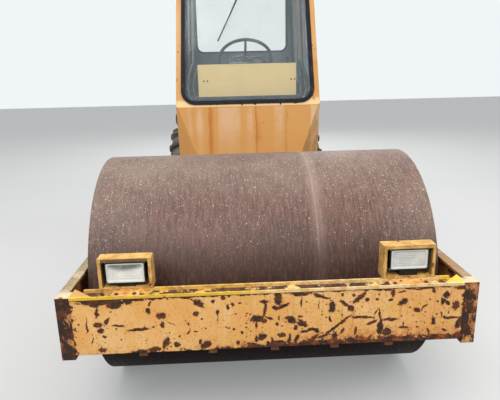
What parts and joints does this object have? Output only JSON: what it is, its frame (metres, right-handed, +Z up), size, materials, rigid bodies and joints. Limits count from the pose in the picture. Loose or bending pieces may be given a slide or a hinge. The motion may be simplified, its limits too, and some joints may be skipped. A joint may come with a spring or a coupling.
{
  "type": "single-drum road roller",
  "caption": "Articulated single-drum road roller with a smooth steel drum in front, a tall cab, lug tyres and a rear engine hood.",
  "frame": {"origin": "on the ground, midway along the machine and on its middle plane", "axes": "+Z up, -Y the machine's front with the drum, +X to the right of someone who looks at its front"},
  "size_m": [1.796, 4.75, 2.75],
  "materials": {
    "worn_yellow": "chipped and rusted",
    "cab_yellow": "faded satin",
    "cream_paint": "faded satin",
    "rusty_steel": "rusted",
    "drum_steel": "brown oxide, worn smooth",
    "dark_steel": "dusty satin",
    "bright_steel": "greased",
    "rod_chrome": "hard chrome",
    "engine_paint": "oily",
    "rim_paint": "faded satin",
    "tyre_rubber": "dusty",
    "black_rubber": "matte",
    "dark_plastic": "matte",
    "seat_vinyl": "worn vinyl",
    "plywood": "bare",
    "window_glass": "clear",
    "lamp_glass": "fluted",
    "lamp_red": "gloss"
  },
  "bodies": {
    "chassis": {"chassis_nose": "cab_yellow", "chassis_rails": "cab_yellow", "counterweight": "cab_yellow", "tail_lamps": "lamp_red", "rear_axle": "dark_steel", "steering_pin": "bright_steel", "cab_floor": "dark_steel", "cab_mounts": "black_rubber", "cab_front": "cab_yellow", "cab_sides": "cab_yellow", "cab_rear": "cab_yellow", "cab_roof": "cream_paint", "cab_glass": "window_glass", "window_seals": "black_rubber", "wiper": "dark_plastic", "steering_wheel": "dark_plastic", "dashboard": "dark_plastic", "screen_board": "plywood", "seat_base": "dark_steel", "seat_cushion": "seat_vinyl", "seat_back": "seat_vinyl", "side_console": "dark_plastic", "engine": "engine_paint", "radiator": "dark_steel", "side_tanks": "cab_yellow", "steps": "dark_steel"},
    "hitch": {"hitch_block": "dark_steel"},
    "drum_frame": {"front_beam": "worn_yellow", "corner_posts": "rusty_steel", "side_beams": "cream_paint", "drum_crossbeam": "cab_yellow", "drum_carriers": "dark_steel", "drum_buffers": "black_rubber", "scrapers": "rusty_steel", "lamp_guards": "worn_yellow", "headlamp_shells": "dark_plastic", "headlamp_lenses": "lamp_glass"},
    "drum": {"drum_shell": "drum_steel", "drum_ends": "drum_steel"},
    "wheel_left": {"tyre_left": "tyre_rubber", "rim_left": "rim_paint"},
    "wheel_right": {"tyre_right": "tyre_rubber", "rim_right": "rim_paint"},
    "barrel_left": {"cylinder_barrel_left": "dark_steel"},
    "barrel_right": {"cylinder_barrel_right": "dark_steel"},
    "rod_left": {"cylinder_rod_left": "rod_chrome"},
    "rod_right": {"cylinder_rod_right": "rod_chrome"},
    "door_left": {"door_left": "cab_yellow", "door_glass_left": "window_glass"},
    "door_right": {"door_right": "cab_yellow", "door_glass_right": "window_glass"},
    "hood": {"hood": "cab_yellow", "hood_grille": "dark_plastic", "exhaust_stack": "rusty_steel"}
  },
  "joints": [
    {"name": "steer", "type": "hinge", "parent": "chassis", "child": "hitch", "pos_m": [0, -0.334, 0.6], "axis": [0, 0, 1], "range_deg": [-32, 32]},
    {"name": "oscillation", "type": "hinge", "parent": "hitch", "child": "drum_frame", "pos_m": [0, -0.709, 0.6], "axis": [0, 1, 0], "range_deg": [-8, 8]},
    {"name": "drum_spin", "type": "hinge", "parent": "drum_frame", "child": "drum", "pos_m": [0, -1.509, 0.61], "axis": [1, 0, 0], "continuous": true},
    {"name": "wheel_left_spin", "type": "hinge", "parent": "chassis", "child": "wheel_left", "pos_m": [-0.605, 0.841, 0.575], "axis": [1, 0, 0], "continuous": true},
    {"name": "wheel_right_spin", "type": "hinge", "parent": "chassis", "child": "wheel_right", "pos_m": [0.605, 0.841, 0.575], "axis": [1, 0, 0], "continuous": true},
    {"name": "barrel_left_swing", "type": "hinge", "parent": "chassis", "child": "barrel_left", "pos_m": [-0.218, -0.027, 0.6], "axis": [0, 0, 1], "range_deg": [-7.41, 7.41]},
    {"name": "rod_left_stroke", "type": "slide", "parent": "barrel_left", "child": "rod_left", "axis": [0.1382, -0.9904, 0], "range_m": [-0.0966, 0.0966]},
    {"name": "barrel_right_swing", "type": "hinge", "parent": "chassis", "child": "barrel_right", "pos_m": [0.218, -0.027, 0.6], "axis": [0, 0, 1], "range_deg": [-7.41, 7.41]},
    {"name": "rod_right_stroke", "type": "slide", "parent": "barrel_right", "child": "rod_right", "axis": [-0.1382, -0.9904, 0], "range_m": [-0.0966, 0.0966]},
    {"name": "door_left_swing", "type": "hinge", "parent": "chassis", "child": "door_left", "pos_m": [-0.575, 0.294, 1.1], "axis": [0, 0, -1], "range_deg": [0, 95]},
    {"name": "door_right_swing", "type": "hinge", "parent": "chassis", "child": "door_right", "pos_m": [0.575, 0.294, 1.1], "axis": [0, 0, 1], "range_deg": [0, 95]},
    {"name": "hood_lift", "type": "hinge", "parent": "chassis", "child": "hood", "pos_m": [0, 2.226, 0.925], "axis": [-1, 0, 0], "range_deg": [0, 60]}
  ],
  "couplings": [
    {"joint": "barrel_left_swing", "follows": "steer", "ratio": 0.23},
    {"joint": "rod_left_stroke", "follows": "steer", "m_per_rad": 0.172},
    {"joint": "barrel_right_swing", "follows": "steer", "ratio": 0.23},
    {"joint": "rod_right_stroke", "follows": "steer", "m_per_rad": -0.172}
  ]
}
